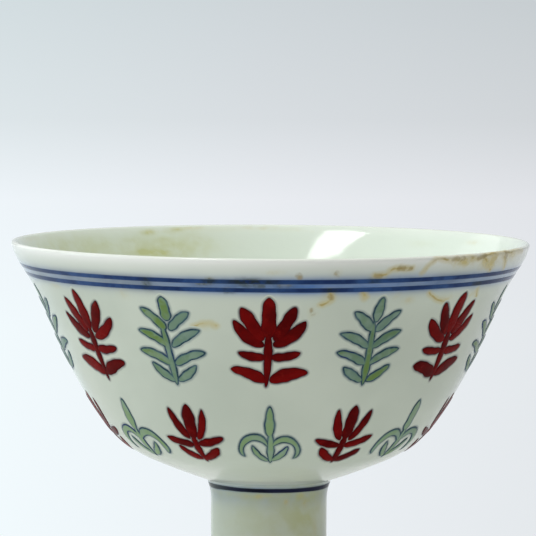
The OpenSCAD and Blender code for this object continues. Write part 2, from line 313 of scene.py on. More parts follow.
glazeLook = {
    "segments": 300, "roughness": 0.06,
    "pale": rgb(213, 220, 206), "grey": rgb(201, 209, 195), "inside": rgb(230, 240, 229),
    # the rim white is partly thin glaze and partly painted highlight, the lip colour a painted shade on the
    # crest's top, the third a painted shade with some stain inside
    "rim": rgb(250, 251, 246), "lip": rgb(220, 224, 213), "veil": rgb(194, 203, 186),
    "moss": rgb(184, 186, 108), "ochre": rgb(202, 182, 96), "rust": rgb(178, 156, 80),
    "brown": rgb(142, 118, 50), "grime": rgb(56, 68, 58),
    "hazePale": rgb(70, 114, 178), "hazeDeep": rgb(44, 80, 130),
    # rings of points on each stretch; they lie closer from the flare up and in the mouth
    "rings": {"foot": 6, "edge": 8, "skirt": 28, "waist": 20, "neck": 12, "crease": 8, "wall": 40,
              "flare": 48, "crest": 18, "mouth": 28, "inside": 40, "floor": 10},
    "flareWay": 8, "mouthWay": 7, "crestTurn": 156, "crestBack": (135, 90, 45),
    "crestTrim": 0.012,  # keeps the crest within the solid's box
    "skirtStart": 0.6, "edgeSoft": 0.5, "rollDip": 0.02, "rollHigh": 0.45, "backDrop": 0.2,
    "neckStop": 0.1, "creaseOut": 0.02, "creaseDrop": 0.05, "creaseWay": 0.45,
    # thin-glaze white on the rim, partly painted highlight; painted shade on the crest top; painted light
    # under the belly; painted shade and some stain inside
    "thin": {"most": 1.15, "reach": 1.35, "inner": 0.2, "innerReach": 1.1},
    "crestTopShade": {"turn": 105, "spread": 40},
    "bellyLight": {"strength": 0.38, "reach": 7.5, "front": -30},
    "innerShadeSide": {"strength": 0.5, "front": -130},
    # blue that ran into the glaze about the rim lines, deeper and further up at some bearings
    "rimHaze": {"halfLine": 0.35, "depth": 0.68, "deeper": 0.32, "deepFront": 14, "deepSpread": 42,
                "reach": 0.6, "further": 0.25, "farFront": 35, "farSpread": 30,
                "outside": 0.9, "between": 0.98},
    "stemHazeAndShadow": {"halfLine": 0.3, "depth": 0.8, "reach": 0.4,
                 # the wash is a painted shadow at the top of the stem, under the bowl
                 "wash": 0.45, "collarShadowDrop": 1.2, "collarShadowReach": 2.1},
    # soft stains: bearing to the right of the front, way down from the lip, half spreads, strength
    "stains": [
        (46, 0.6, 3.4, 0.8, 1.4), (55.5, 0.9, 3.6, 1.1, 2.0), (65, 0.5, 5.0, 0.8, 0.9),
        (63, 1.34, 1.2, 1.2, 0.5), (29.5, 1.34, 2.5, 0.5, 0.6), (23.5, 2.24, 1.6, 0.4, 0.8),
        (14.2, 1.94, 0.9, 0.7, 0.6), (6, 2.34, 0.9, 0.5, 0.5), (1, 1.64, 1.5, 0.4, 0.5),
        (13.4, 5.74, 1.5, 0.7, 0.8), (12, 6.94, 1.2, 0.6, 0.3), (9.8, 8.64, 0.9, 0.8, 0.7),
        (21.5, 5.84, 0.8, 0.6, 0.5), (30, 5.94, 1.0, 0.7, 0.4), (33.5, 6.94, 1.5, 0.6, 0.5),
        (45, 6.94, 3.0, 0.6, 0.35), (54, 6.74, 2.0, 0.6, 0.5), (-35.7, 6.24, 1.4, 0.9, 0.3),
        (-60, 5.94, 2.4, 0.5, 0.4), (-16, 10.84, 2.8, 0.5, 0.4), (-14.6, 3.44, 1.6, 0.35, 1.3),
        (-12.8, 2.84, 0.8, 0.3, 0.8), (-4.5, 3.24, 4.2, 0.35, 1.0), (3.2, 3.74, 1.0, 0.4, 0.8),
        (-29, 4.04, 0.7, 0.8, 0.1), (-9.4, 4.74, 1.0, 0.3, 0.9), (24, 3.14, 2.0, 0.4, 0.7),
        (13.5, 4.74, 1.2, 0.4, 0.7), (110, 0.27, 9.0, 0.7, 0.6), (150, 2.14, 6.0, 0.7, 0.5),
        (-120, 1.74, 6.0, 0.8, 0.6), (-165, 7.14, 4.0, 0.8, 0.4),
    ],
    # the same for dark grime on and about the rim lines
    "grimes": [
        (-28.2, 4.1, 0.9, 0.9, 0.9), (-14.6, 3.7, 1.6, 0.4, 0.7), (-13, 3.1, 0.9, 0.4, 0.9),
        (-9.2, 5.1, 1.2, 0.35, 0.8), (-4.3, 3.2, 4.5, 0.6, 0.75), (-2, 4.1, 7.0, 0.5, 0.45),
        (3.3, 4.0, 1.0, 0.35, 0.6), (13.5, 4.9, 1.2, 0.4, 0.6), (23, 3.0, 1.6, 0.4, 0.6),
        (55, 4.6, 3.0, 0.5, 0.4), (128, 3.6, 4.0, 0.6, 0.6), (-110, 4.4, 3.0, 0.6, 0.6),
    ],
    # for yellowed patches inside the bowl
    "mosses": [
        (-149, 0.9, 1.8, 0.6, 0.65), (-157.2, 0.45, 2.2, 0.4, 0.7), (-155, 0.9, 2.6, 0.5, 0.3),
        (-142.5, 2.4, 2.2, 0.7, 0.35), (-145.7, 4.8, 1.8, 0.5, 0.5), (-155.3, 3.7, 2.0, 0.7, 0.25),
        (-152.5, 2.5, 1.6, 0.6, 0.25), (-135, 3.0, 1.5, 0.7, 0.2), (-150.6, 4.9, 2.4, 0.6, 0.35),
        (-168, 0.6, 6.0, 0.5, 0.2), (178, 0.6, 5.0, 0.5, 0.15), (-152, 5.0, 11.0, 2.6, 0.4),
        (-162, 2.4, 6.0, 2.6, 0.2), (-119, 3.7, 28.0, 3.0, 0.5), (60, 3.7, 9.0, 1.2, 0.2),
        (140, 2.7, 4.0, 0.8, 0.12),
    ],
    "innerStains": [
        (-161, 0.1, 2.4, 0.4, 0.4), (-149.2, 0.8, 0.9, 0.4, 0.4), (-157, 0.3, 1.2, 0.3, 0.4),
        (122, 1.6, 3.0, 0.5, 0.3), (-104, 0.4, 5.0, 0.4, 0.3),
    ],
    # and on the stem, by the way down from the crease
    "stemStains": [
        (-9, 1.7, 5.0, 0.4, 0.6), (17, 2.6, 2.8, 0.5, 0.7), (32, 1.8, 4.0, 0.5, 0.8),
        (38, 2.8, 3.5, 0.6, 0.7), (-25, 1.8, 10.0, 0.4, 0.3), (6, 1.5, 8.0, 0.3, 0.3),
        (52, 7.0, 4.0, 1.6, 0.25), (110, 9.0, 9.0, 2.0, 0.4), (-120, 14.0, 9.0, 3.0, 0.3),
        (170, 24.0, 8.0, 5.0, 0.3), (-60, 30.0, 9.0, 3.0, 0.3),
    ],
    "stemMosses": [
        (20, 4.0, 44.0, 6.0, 0.2), (-10, 5.0, 90.0, 6.0, 0.18), (44, 7.0, 24.0, 6.0, 0.35),
        (0, 1.5, 70.0, 0.8, 0.3), (150, 8.0, 40.0, 9.0, 0.35),
    ],
    # stained cracks, each through points of bearing and way
    "cracks": [
        [(34.4, 2.24), (35.8, 1.04), (38, 0.02), (43.7, 0.17), (51.4, 0.33), (53.7, -0.03),
         (63, -0.16), (73, -0.03)],
        [(22.9, 2.14), (25.2, 1.94), (26.9, 1.34), (28.5, 1.09), (31.3, 1.34)],
        [(52.5, 0.17), (57.5, 2.49)], [(61.6, 0.53), (63.9, 2.44)],
        [(13.4, 5.14), (13.6, 6.24), (11.7, 7.24)], [(39.1, 5.64), (42.2, 6.94), (46, 7.44)],
        [(20.9, 5.34), (22, 6.34)], [(55.8, 5.64), (57.4, 7.24)],
        [(-18.9, 11.34), (-17, 10.84), (-14.5, 10.64), (-13.1, 11.14)],
        [(97, 2.1), (116, 1.8), (125, 2.74)], [(160, 1.74), (176, 0.38), (190, 0.17)],
        [(-120, 1.24), (-128, 2.44), (-131, 7.24)],
    ],
    # short runs where the stain lies dark
    "scabs": [
        [(42.3, 0.17), (45.6, 0.02)], [(50.8, 0.27), (53.4, 0.02)], [(62, -0.2), (62.6, 0.58)],
        [(28.4, 1.14), (31, 1.36)], [(23.2, 2.24), (24, 2.19)], [(13.35, 5.64), (13.5, 6.04)],
        [(9.6, 8.34), (9.9, 8.84)], [(14, 1.54), (14.3, 2.14)], [(5.9, 2.14), (6.4, 2.54)],
        [(112, 1.9), (116, 1.8)],
    ],
}


def marksAt(marks, bearing, way):  # strength of the listed marks at a spot
    total = 0.0
    for front, middle, spreadOff, spreadWay, strength in marks:
        square = (offFrom(bearing, front) / spreadOff) ** 2 + ((way - middle) / spreadWay) ** 2
        if square < 9:  # three spreads away
            total += strength * exp(-square)
    return total


def glazeBody(place):  # bare colour of the outside
    return mottle(place, 38, 3, 0.5, 0.4).rise(0.35, 0.7).tint(glazeLook["pale"], glazeLook["grey"])


def glazePeel(place):  # the faint waves of a fired glaze
    peel = mottle(place, 700, 2, 0.5) * 0.6 + mottle(place, 90, 2, 0.5) * 2.0
    return bumpOf(peel, 0.06, 0.0004)


def nearestWay(place, lines):  # distance from the nearest of some broken lines on the outside
    nearest = None
    for line in lines:
        for a, b in zip(line, line[1:]):
            start, end = Vector(spotAt(*a)), Vector(spotAt(*b))
            run = end - start
            gone = place.vector("SUBTRACT", place, start)
            share = place.vector("DOT_PRODUCT", gone, run / run.length_squared, "Value").most(0.0).least(1.0)
            foot = place.node("VectorMath", {"operation": "SCALE"}, {0: run, "Scale": share})
            way = place.vector("DISTANCE", gone, foot, "Value")
            nearest = way if nearest is None else nearest.least(way)
    return nearest


def stirred(place, scale, reach):  # places pushed about by a noise
    noise = place.node("TexNoise", None, {"Vector": place, "Scale": scale, "Detail": 3.0}, "Color")
    push = place.vector("SUBTRACT", noise, (0.5, 0.5, 0.5))
    push = place.node("VectorMath", {"operation": "SCALE"}, {0: push, "Scale": reach})
    return place.vector("ADD", place, push)


def glazeMaterial():
    material, root = startMaterial("celadon_white_glaze")
    place = placeOf(root)
    clouds = mottle(place, 140, 4, 0.55, 0.6)
    body = glazeBody(place)
    # painted shade over the inside's left half, with some stain
    inside = layerOf(root, "veil").tint(glazeLook["inside"], glazeLook["veil"])
    body = layerOf(root, "inner").tint(body, inside)
    # white of thin glaze, partly a painted highlight on the lip and painted light under the belly
    body = layerOf(root, "thin").tint(body, glazeLook["rim"])
    # painted shade on the top of the crest
    body = layerOf(root, "lip").tint(body, glazeLook["lip"])
    hazeTone = mottle(place, 70, 3).rise(0.36, 0.64).tint(glazeLook["hazePale"], glazeLook["hazeDeep"])
    # blue run into the glaze, and on the stem also a painted shadow under the bowl
    haze = layerOf(root, "haze") * (0.86 + 0.2 * clouds.rise(0.3, 0.7))
    body = haze.least(1.0).tint(body, hazeTone)
    moss = layerOf(root, "moss") * (0.5 + 0.6 * mottle(place, 300, 4, 0.55, 0.2).rise(0.34, 0.66))
    body = moss.least(0.75).tint(body, glazeLook["moss"])
    grain = mottle(place, 620, 4, 0.6, 0.3)
    soft = layerOf(root, "stain") * (0.35 + 0.65 * grain.rise(0.36, 0.64))
    body = (soft * 0.75).least(0.8).tint(body, glazeLook["ochre"])
    grime = layerOf(root, "grime") * (0.5 + grain.rise(0.36, 0.64))
    body = grime.least(0.85).tint(body, glazeLook["grime"])
    bent = stirred(place, 260, 0.0016)
    crack = nearestWay(bent, glazeLook["cracks"])
    glow = (1 - crack.rise(0.0001, 0.0009)) * 0.5
    body = glow.tint(body, glazeLook["ochre"])
    hair = (1 - crack.rise(0.00005, 0.00026)) * mottle(place, 340, 3).rise(0.36, 0.52)
    body = (hair * 0.8).tint(body, glazeLook["rust"])
    scab = (1 - nearestWay(bent, glazeLook["scabs"]).rise(0.0001, 0.0006)) * grain.rise(0.3, 0.5)
    body = (scab * 0.65).tint(body, glazeLook["brown"])
    dull = 0.05 * clouds + 0.25 * soft.most(scab).least(1.0)
    endMaterial(root, {"Base Color": body, "Roughness": glazeLook["roughness"] + dull, "IOR": 1.5,
                       "Normal": glazePeel(place)})
    return material


glazeRings = glazeLook["rings"]
# ways down the outside and the inside, and degrees round the crest, at which the coat has a ring of points
outerWays = spread(wallEnd - glazeLook["creaseWay"], glazeLook["flareWay"], glazeRings["wall"])[:-1]
outerWays += spread(glazeLook["flareWay"], 0, glazeRings["flare"])
innerWays = spread(0, glazeLook["mouthWay"], glazeRings["mouth"])[:-1]
innerWays += spread(glazeLook["mouthWay"], wallEnd, glazeRings["inside"])
lipTurns = spread(0, glazeLook["crestTurn"], glazeRings["crest"])[1:]


def fadeOff(way, reach):
    return exp(-(way / reach) ** 1.2)


def rimHaze(bearing, way):
    look = glazeLook["rimHaze"]
    above = cup["rimLineDrop"] - look["halfLine"] - way
    below = way - cup["rimLineDrop"] - cup["rimLineGap"] - look["halfLine"]
    depth = look["depth"] + look["deeper"] * bell(offFrom(bearing, look["deepFront"]), 0, look["deepSpread"])
    if above > 0:
        far = bell(offFrom(bearing, look["farFront"]), 0, look["farSpread"])
        return depth * look["outside"] * fadeOff(above, look["reach"] + look["further"] * far)
    return depth * (look["outside"] * fadeOff(below, look["reach"]) if below > 0 else look["between"])


def stemHazeAndShadow(drop):
    look = glazeLook["stemHazeAndShadow"]
    off = max(abs(drop - cup["stemLineDrop"]) - look["halfLine"], 0)
    # the wash is a painted shadow at the top of the stem, under the bowl
    wash = look["wash"] * bell(drop, look["collarShadowDrop"], look["collarShadowReach"])
    return max(look["depth"] * fadeOff(off, look["reach"]), wash)


def glazeProfile():
    t, stop, look = cup["glazeT"], cup["glazeStop"], glazeLook
    edgeR, edgeZ = cup["footD"] / 2, cup["footEdge"]
    skirt = [skirtAt(a) for a in spread(cup["footLean"] - look["skirtStart"], 0, glazeRings["skirt"])]
    waist = [(stemR, z, 1.0, 0.0) for z in spread(skirtZ, neckZ, glazeRings["waist"])]
    neckTop = cup["stemH"] - cup["neckEdge"] - look["neckStop"]
    neck = [neckAt(z) for z in spread(neckZ, neckTop, glazeRings["neck"])]
    under = [wallAt(s) for s in outerWays]
    foot = [(edgeR - t, stop)]
    dip, high = stop - look["rollDip"], stop + look["rollHigh"]
    foot += eased(foot[0], (edgeR, dip), (edgeR, high), glazeRings["foot"])[1:]
    foot += eased((edgeR, edgeZ - look["edgeSoft"]), (edgeR, edgeZ), skirt[0][:2], glazeRings["edge"])
    corner = (jointR + look["creaseOut"], cup["stemH"] - look["creaseDrop"])
    crease = eased(neck[-1][:2], corner, under[0][:2], glazeRings["crease"])
    front = foot + pushed(skirt[1:] + waist[1:] + neck[1:-1], 0) + crease + pushed(under[1:], 0)
    lip = [crestAt(radians(a) - crestLean, lipR - look["crestTrim"]) for a in lipTurns]
    inner = [(wallAt(s), wallThick(s)) for s in innerWays]
    inside = [shifted(station, -thick) for station, thick in inner]
    floorR = inside[-1][0] / cos(endLean)
    floorZ = inside[-1][1] + floorR * sin(endLean)
    turns = spread(endLean, pi / 2, glazeRings["floor"])[1:-1]
    floor = [(floorR * cos(a), floorZ - floorR * sin(a)) for a in turns]
    floor.append((0.0, floorZ - floorR))
    back = [(0.0, floorZ - floorR - t)]  # against the clay, with fewer rings
    back += [(r, z - t) for r, z in reversed(floor[:-1:3])]
    back += [shifted(station, t - thick) for station, thick in reversed(inner[::4])]
    back += [crestAt(radians(a) - crestLean, lipR - t) for a in look["crestBack"]]
    back += pushed(reversed(skirt[1::3] + neck[::4] + under[::4]), -t)
    back.append((edgeR - t, edgeZ - look["backDrop"]))
    return front, lip, inside, floor, back


def glazeMarks(zone, bearing, way):  # layer values that differ from bearing to bearing
    look = glazeLook
    if zone == "stem":
        return {"stain": marksAt(look["stemStains"], bearing, way), "haze": stemHazeAndShadow(way),
                "moss": marksAt(look["stemMosses"], bearing, way)}
    if zone == "wall":
        # painted light under the belly on the side facing front left, kept in the thin layer
        bellyLight = look["bellyLight"]["strength"] * bell(wallEnd - way, 0, look["bellyLight"]["reach"])
        return {"stain": marksAt(look["stains"], bearing, way), "haze": rimHaze(bearing, way),
                "grime": marksAt(look["grimes"], bearing, way),
                "thin": bellyLight * facing(bearing, look["bellyLight"]["front"])}
    if zone == "crest":
        return {"stain": marksAt(look["stains"], bearing, way)}
    if zone == "inside":
        # the last layer is a painted shade, with some stain, over the inside's left half
        return {"stain": marksAt(look["innerStains"], bearing, way),
                "moss": marksAt(look["mosses"], bearing, way),
                "veil": look["innerShadeSide"]["strength"] * facing(bearing, look["innerShadeSide"]["front"])}
    return {}


def makeGlazeCoat(material):
    front, lip, inside, floor, back = glazeProfile()
    profile = front + lip + inside + floor + back
    points, faces, corners, rings = turnProfile(profile, glazeLook["segments"])
    stemRings = len(front) - len(outerWays) + 1
    zones = [("stem", cup["stemH"] - z) for r, z in front[:stemRings]] + [("wall", s) for s in outerWays[1:]]
    zones += [("crest", -lipR * radians(a)) for a in lipTurns] + [("inside", s) for s in innerWays]
    rest, thin, shade = len(floor) + len(back), glazeLook["thin"], glazeLook["crestTopShade"]
    zones += [("plain", 0)] * rest
    inner = [0.0] * len(front) + spread(0, 1, len(lip) - 1) + [1.0] * (len(inside) + len(floor))
    inner += [0.0] * len(back)
    # painted shade along the top of the crest
    crestTopShading = [0.0] * len(front) + [bell(a, shade["turn"], shade["spread"]) for a in lipTurns]
    crestTopShading += [0.0] * (len(inside) + rest)
    # white of thin glaze over the rim, crest and inner lip, partly a painted highlight
    thinWhiteAndLight = [0.0] * stemRings + [min(1, thin["most"] * exp(-s / thin["reach"])) for s in outerWays[1:]]
    thinWhiteAndLight += spread(1, thin["inner"], len(lip) - 1)
    thinWhiteAndLight += [thin["inner"] * bell(s, 0, thin["innerReach"]) for s in innerWays] + [0.0] * rest
    layers = {"inner": ringLayer(rings, inner), "lip": ringLayer(rings, crestTopShading),
              "thin": ringLayer(rings, thinWhiteAndLight)}
    for key in ("haze", "stain", "grime", "moss", "veil"):
        layers[key] = [0.0] * len(points)
    for (zone, way), (start, count) in zip(zones, rings):
        for j in range(count):
            bearing = 360 * j / count + 90  # the front faces -Y
            for key, value in glazeMarks(zone, bearing, way).items():
                layers[key][start + j] += value
    makePiece("glaze", (points, faces, corners), layers, material, "glaze", ["glaze_coat"])


makeGlazeCoat(glazeMaterial())
print("stage: glaze coat turned")


# Clay body and the glaze in the stem's bore

clayLook = {
    "segments": 192, "biscuit": rgb(222, 214, 198), "chalk": rgb(234, 229, 218),
    "flash": rgb(186, 128, 78), "speck": rgb(110, 92, 74),
    "skirtRings": 48, "neckRings": 8, "edgeRings": 4, "bevelRings": 6, "footRings": 4,
    "edgeSoft": (0.1, 0.6), "bevelSoft": 0.08, "boreEdge": 0.9, "topDrop": 0.06,
    # orange flashing beside the glaze, outside and in the bore
    "flashes": {"top": 3, "outerDeep": 0.6, "outerReach": 0.5, "innerDeep": 0.3, "innerZ": 1.9,
                "innerReach": 0.6, "rest": 0.08},
}
linerLook = {
    "pale": rgb(204, 210, 196), "grey": rgb(186, 194, 180), "thin": rgb(206, 190, 160),
    "rings": 40, "rollRings": 5, "cornerRings": 6, "start": 0.8, "roll": 0.25, "topGap": 0.2,
    "cornerDrop": 1.4, "cornerIn": 1.2, "flatR": 2.0,
}


def clayMaterial():
    material, root = startMaterial("bare_biscuit")
    place = placeOf(root)
    body = mottle(place, 160, 4).rise(0.35, 0.65).tint(clayLook["biscuit"], clayLook["chalk"])
    flash = layerOf(root, "flash") * mottle(place, 110, 3).rise(0.3, 0.6)
    body = flash.least(0.9).tint(body, clayLook["flash"])
    specks = mottle(place, 1900, 2).rise(0.66, 0.74)
    body = (specks * 0.6).tint(body, clayLook["speck"])
    grit = mottle(place, 2400, 3) + 0.5 * mottle(place, 700, 3)
    endMaterial(root, {"Base Color": body, "Roughness": 0.62 + 0.25 * mottle(place, 900, 3),
                       "Normal": bumpOf(grit, 0.35, 0.0003)})
    return material


def linerMaterial():
    material, root = startMaterial("thin_bore_glaze")
    place = placeOf(root)
    body = mottle(place, 90, 4, 0.5, 0.6).rise(0.35, 0.65).tint(linerLook["pale"], linerLook["grey"])
    thin = mottle(place, 420, 4, 0.6, 1.0).rise(0.56, 0.7) * 0.5
    body = thin.tint(body, linerLook["thin"])
    ripple = mottle(place, 300, 3) + 0.4 * mottle(place, 1100, 2)
    endMaterial(root, {"Base Color": body, "Roughness": 0.16 + 0.2 * thin,
                       "Normal": bumpOf(ripple, 0.15, 0.0004)})
    return material


def flashAt(r, z, outR, inR):
    look = clayLook["flashes"]
    if z < look["top"] and r > outR - look["outerDeep"]:
        return bell(z, cup["glazeStop"], look["outerReach"])
    if z < look["top"] and r < inR + look["innerDeep"]:
        return bell(z, look["innerZ"], look["innerReach"])
    return look["rest"]


def makeStem(material):
    t, bevel, soft, count = cup["glazeT"], cup["footBevel"], clayLook["bevelSoft"], clayLook["bevelRings"]
    outR = cup["footD"] / 2 - t
    inR = outR - cup["stemT"]
    edgeZ, topZ = cup["footEdge"], cup["stemH"] - cup["neckEdge"]
    skirt = [skirtAt(a) for a in spread(0, cup["footLean"], clayLook["skirtRings"])]
    neck = [neckAt(z) for z in spread(topZ, neckZ, clayLook["neckRings"])]
    outer = pushed(neck[:-1] + skirt[:-1], -t)
    bend, end = [(outR, edgeZ - drop) for drop in clayLook["edgeSoft"]]
    outer += eased(shifted(skirt[-1], -t), bend, end, clayLook["edgeRings"])[1:]
    foot = [(outR, cup["glazeStop"])] + eased((outR, bevel), (outR - soft, 0.0), (outR - bevel, 0.0), count)
    foot += [(r, 0.0) for r in spread(outR - bevel, inR + bevel, clayLook["footRings"])[1:]]
    foot += eased((inR + bevel, 0.0), (inR + soft, 0.0), (inR, bevel), count)[1:]
    bore = [(inR, edgeZ - clayLook["boreEdge"])] + pushed(reversed(skirt), -t - cup["stemT"])
    bore.append((boreR, topZ - clayLook["topDrop"]))
    profile = list(reversed(outer + foot + bore))  # up the bore, over the top and down the outside
    points, faces, corners, rings = turnProfile(profile, clayLook["segments"])
    layers = {"flash": ringLayer(rings, [flashAt(r, z, outR, inR) for r, z in profile])}
    makePiece("stem_clay", (points, faces, corners), layers, material, "porcelain", ["stem"])


def makeLiner(material):
    t, look = cup["glazeT"], linerLook
    deep = -(t + cup["stemT"])
    topZ = cup["stemH"] - t - cup["tenonLen"] + look["topGap"]
    faceR, faceZ = boreR - t, topZ - t
    stations = [skirtAt(a) for a in spread(cup["footLean"] - look["start"], 0, look["rings"])]
    front = pushed(stations, deep - t)
    r, z = front[0]
    front = eased(shifted(stations[0], deep), (r, z - look["roll"]), (r, z), look["rollRings"]) + front[1:]
    front += eased((faceR, topZ - look["cornerDrop"]), (faceR, faceZ), (faceR - look["cornerIn"], faceZ),
                   look["cornerRings"])
    front += [(look["flatR"], faceZ), (0.0, faceZ)]
    back = [(0.0, topZ), (boreR, topZ)] + pushed(reversed(stations[1::4]), deep)
    points, faces, corners, rings = turnProfile(list(reversed(front + back)), clayLook["segments"])
    makePiece("bore_glaze", (points, faces, corners), {}, material, "glaze", ["stem_liner_glaze"])


clay = clayMaterial()
makeStem(clay)
makeLiner(linerMaterial())
for hidden in ("bowl", "luting_slip"):  # covered all round by the glaze
    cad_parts[hidden].data.materials.clear()
    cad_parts[hidden].data.materials.append(clay)
print("stage: clay and bore done")


# Cobalt lines

lineLook = {
    "steps": 360, "lift": 0.012, "edgeSink": 0.03, "sink": 0.08, "soft": 1.32, "gloss": 0.06,
    "strong": rgb(24, 46, 94), "weak": rgb(48, 80, 134), "ink": rgb(14, 18, 34), "inkWeak": rgb(30, 34, 62),
    "stained": rgb(38, 48, 44), "edge": rgb(88, 108, 136), "inkEdge": rgb(84, 92, 94),
    # shares of the half width at which the face and the hidden back have points
    "face": (-1, -0.82, -0.5, -0.2, 0.2, 0.5, 0.82, 1), "back": (0.7, -0.7),
    # a hand's unevenness: waves to the turn, and how far they sway and swell the line
    "waves": (2, 3, 5, 9, 14, 23), "sway": 0.035, "swell": 0.07,
    "staining": 2.0, "fadeFront": -75, "fadeSpread": 28, "rimFade": 0.3, "otherFade": 0.9,
}


def lineMaterial(name, strong, weak, edge):
    material, root = startMaterial(name)
    place = placeOf(root)
    rim = layerOf(root, "edge")
    body = mottle(place, 120, 5, 0.6, 0.6).rise(0.34, 0.68).tint(strong, weak)
    dark = mottle(place, 420, 3, 0.6).rise(0.5, 0.8) * 0.4
    body = dark.tint(body, lineLook["ink"])
    old = layerOf(root, "stain") * mottle(place, 500, 4, 0.6).rise(0.35, 0.6)
    body = old.least(0.8).tint(body, lineLook["stained"])
    body = layerOf(root, "faint").tint(body, edge)
    fade = 1 - rim.rise(0.0, 0.16 + 0.1 * mottle(place, 300, 3))
    body = (fade * 0.9).tint(body, edge)
    endMaterial(root, {"Base Color": body, "Roughness": 0.1 + 0.05 * mottle(place, 140, 3),
                       "Specular IOR Level": lineLook["gloss"]})
    return material


def makeLine(name, station, width, seed, material, node, way):  # with a way if it is on the bowl
    chance, look, steps = random.Random(seed), lineLook, lineLook["steps"]
    waves = [(n, chance.uniform(0, 6.28), chance.uniform(0.4, 1.0) / n ** 0.7) for n in look["waves"]]
    across = [(v, look["lift"] if abs(v) < 1 else -look["edgeSink"]) for v in look["face"]]
    across += [(v, -look["sink"]) for v in look["back"]]
    points, rim, stain, faint = [], [], [], []
    for j in range(steps):
        angle = 2 * pi * j / steps
        bearing = degrees(angle) + 90
        sway = sum(a * sin(n * angle + p) for n, p, a in waves)
        swell = sum(a * cos(n * angle + 1.7 * p) for n, p, a in waves)
        half = width / 2 * (look["soft"] + look["swell"] * swell)
        mark = 0.0 if way is None else look["staining"] * marksAt(glazeLook["grimes"], bearing, way)
        pale = look["otherFade"] if way is None else look["rimFade"]
        pale *= bell(offFrom(bearing, look["fadeFront"]), 0, look["fadeSpread"])
        for v, lift in across:
            r, z = shifted(station(look["sway"] * sway + v * half), lift)
            points.append(roundAt(r, angle, z))
            rim.append((1 - abs(v)) * half)
            stain.append(mark)
            faint.append(pale)
    faces, corners, n = [], [], len(across)
    for j in range(steps):
        k = (j + 1) % steps
        for i in range(n):
            h = (i + 1) % n
            faces.append((j * n + i, j * n + h, k * n + h, k * n + i))
            u, w, a, b = j / steps, (j + 1) / steps, i / n, (i + 1) / n
            corners += [u, a, u, b, w, b, w, a]
    layers = {"edge": rim, "stain": stain, "faint": faint}
    makePiece(name, (points, faces, corners), layers, material, "cobalt", [node])


def rimLine(way):
    return lambda across: wallAt(way + across)


def stemLine(across):
    return neckAt(cup["stemH"] - cup["stemLineDrop"] - across)


def footLine(rise):
    return lambda across: skirtAt(cup["footLean"] - degrees((rise - across) / skirtR))


cobalt = lineMaterial("cobalt_line", lineLook["strong"], lineLook["weak"], lineLook["edge"])
inky = lineMaterial("inky_stem_line", lineLook["ink"], lineLook["inkWeak"], lineLook["inkEdge"])
highWay, lowWay = cup["rimLineDrop"], cup["rimLineDrop"] + cup["rimLineGap"]
highRise, lowRise = cup["footLineRises"]
for name, station, width, seed, material, node, way in (
        ("rim_line_high", rimLine(highWay), 0.7, 3, cobalt, "rim_line_upper", highWay),
        ("rim_line_low", rimLine(lowWay), 0.7, 8, cobalt, "rim_line_lower", lowWay),
        ("stem_head_line", stemLine, 0.6, 5, inky, "stem_line", None),
        ("foot_line_high", footLine(highRise), 0.5, 11, cobalt, "foot_line_upper", None),
        ("foot_line_low", footLine(lowRise), 0.5, 14, cobalt, "foot_line_lower", None)):
    makeLine(name, station, width, seed, material, node, way)
print("stage: five cobalt lines drawn")


# Enamel ornaments

# each stroke: start x and y, heading from straight up, length, width, bend; paired strokes are mirrored
ornaments = {
    "lotus": {"box": (10.8, 15.4),
              "single": [(0, 0.6, 0, 7.1, 2.3, 0), (0, 2, 180, 9.7, 1.4, 0)],
              "paired": [(0.7, 0.4, 34, 6.6, 2, -8), (0.6, -0.4, 72, 6.3, 1.8, -40),
                         (0.2, -2.2, 96, 4.6, 1.4, -30), (0.2, -6.6, 50, 6, 2, 36)]},
    "spray": {"box": (10.4, 15.4),
              "single": [(0, -7.6, 0, 11.6, 1.3, 0), (0, 3.2, 0, 4.5, 1.8, 0)],
              "paired": [(0.2, 1.7, 34, 5, 1.6, 26), (0.2, -1.1, 40, 5.6, 1.6, 36),
                         (0.2, -4, 46, 5.6, 1.6, 40), (0.2, -6.9, 60, 4.6, 1.5, -20)]},
    "bud": {"box": (11.2, 12),
            "single": [(0, -0.4, 0, 6.4, 2.3, 0), (0, 0.4, 180, 6.4, 1.3, 0)],
            "paired": [(0.8, -0.6, 38, 6.2, 1.5, -30), (0.3, -1.6, 84, 5.4, 1.5, -24),
                       (0.1, -5.2, 66, 4.8, 1.5, -30)]},
    "cloud": {"box": (12, 12),
              "single": [(0, 0.2, 0, 5.8, 2, 0), (0, 1.2, 180, 7.2, 1.4, 0)],
              "paired": [(0.3, -1.8, 14, 9.6, 1.5, 214), (0.1, -5.2, 62, 5, 1.4, -40)]},
}
rowLook = {
    "repeats": 7, "rows": 26, "outline": 0.34, "dome": 0.12, "domeWay": 0.2, "edgeSink": 0.02, "sink": 0.06,
    "overlap": 0.0006, "tipHalf": 0.02, "backShare": 0.6, "leastBend": 0.5,
    # ways out from a stroke's edge and lifts of the colour that bled into the glaze around it
    "bleed": [(-0.04, 0.012), (0.12, 0.009), (0.27, 0.006), (0.42, 0.002), (0.47, -0.008), (0.3, -0.05),
              (-0.04, -0.05)],
    # how far a hand strays, for an ornament and then for each stroke
    "bearing": (-0.5, 0.5), "tilt": (-1.6, 1.6), "size": (0.98, 1.02),
    "place": (-0.1, 0.1), "heading": (-3, 3), "length": (0.97, 1.03), "width": (0.95, 1.12), "bend": (-6, 6),
    "wave": (0, 6.28),
    # shares of a stroke's cell on the flat sheet
    "cellWide": 0.94, "bodyTall": 0.6, "bleedLow": 0.64, "bleedTall": 0.32,
}
rows = {
    "upper": {"drop": 13.8, "high": 15.4, "gap": 4.4},
    "lower": {"drop": 30.9, "high": 12.4, "gap": 1.8},
}


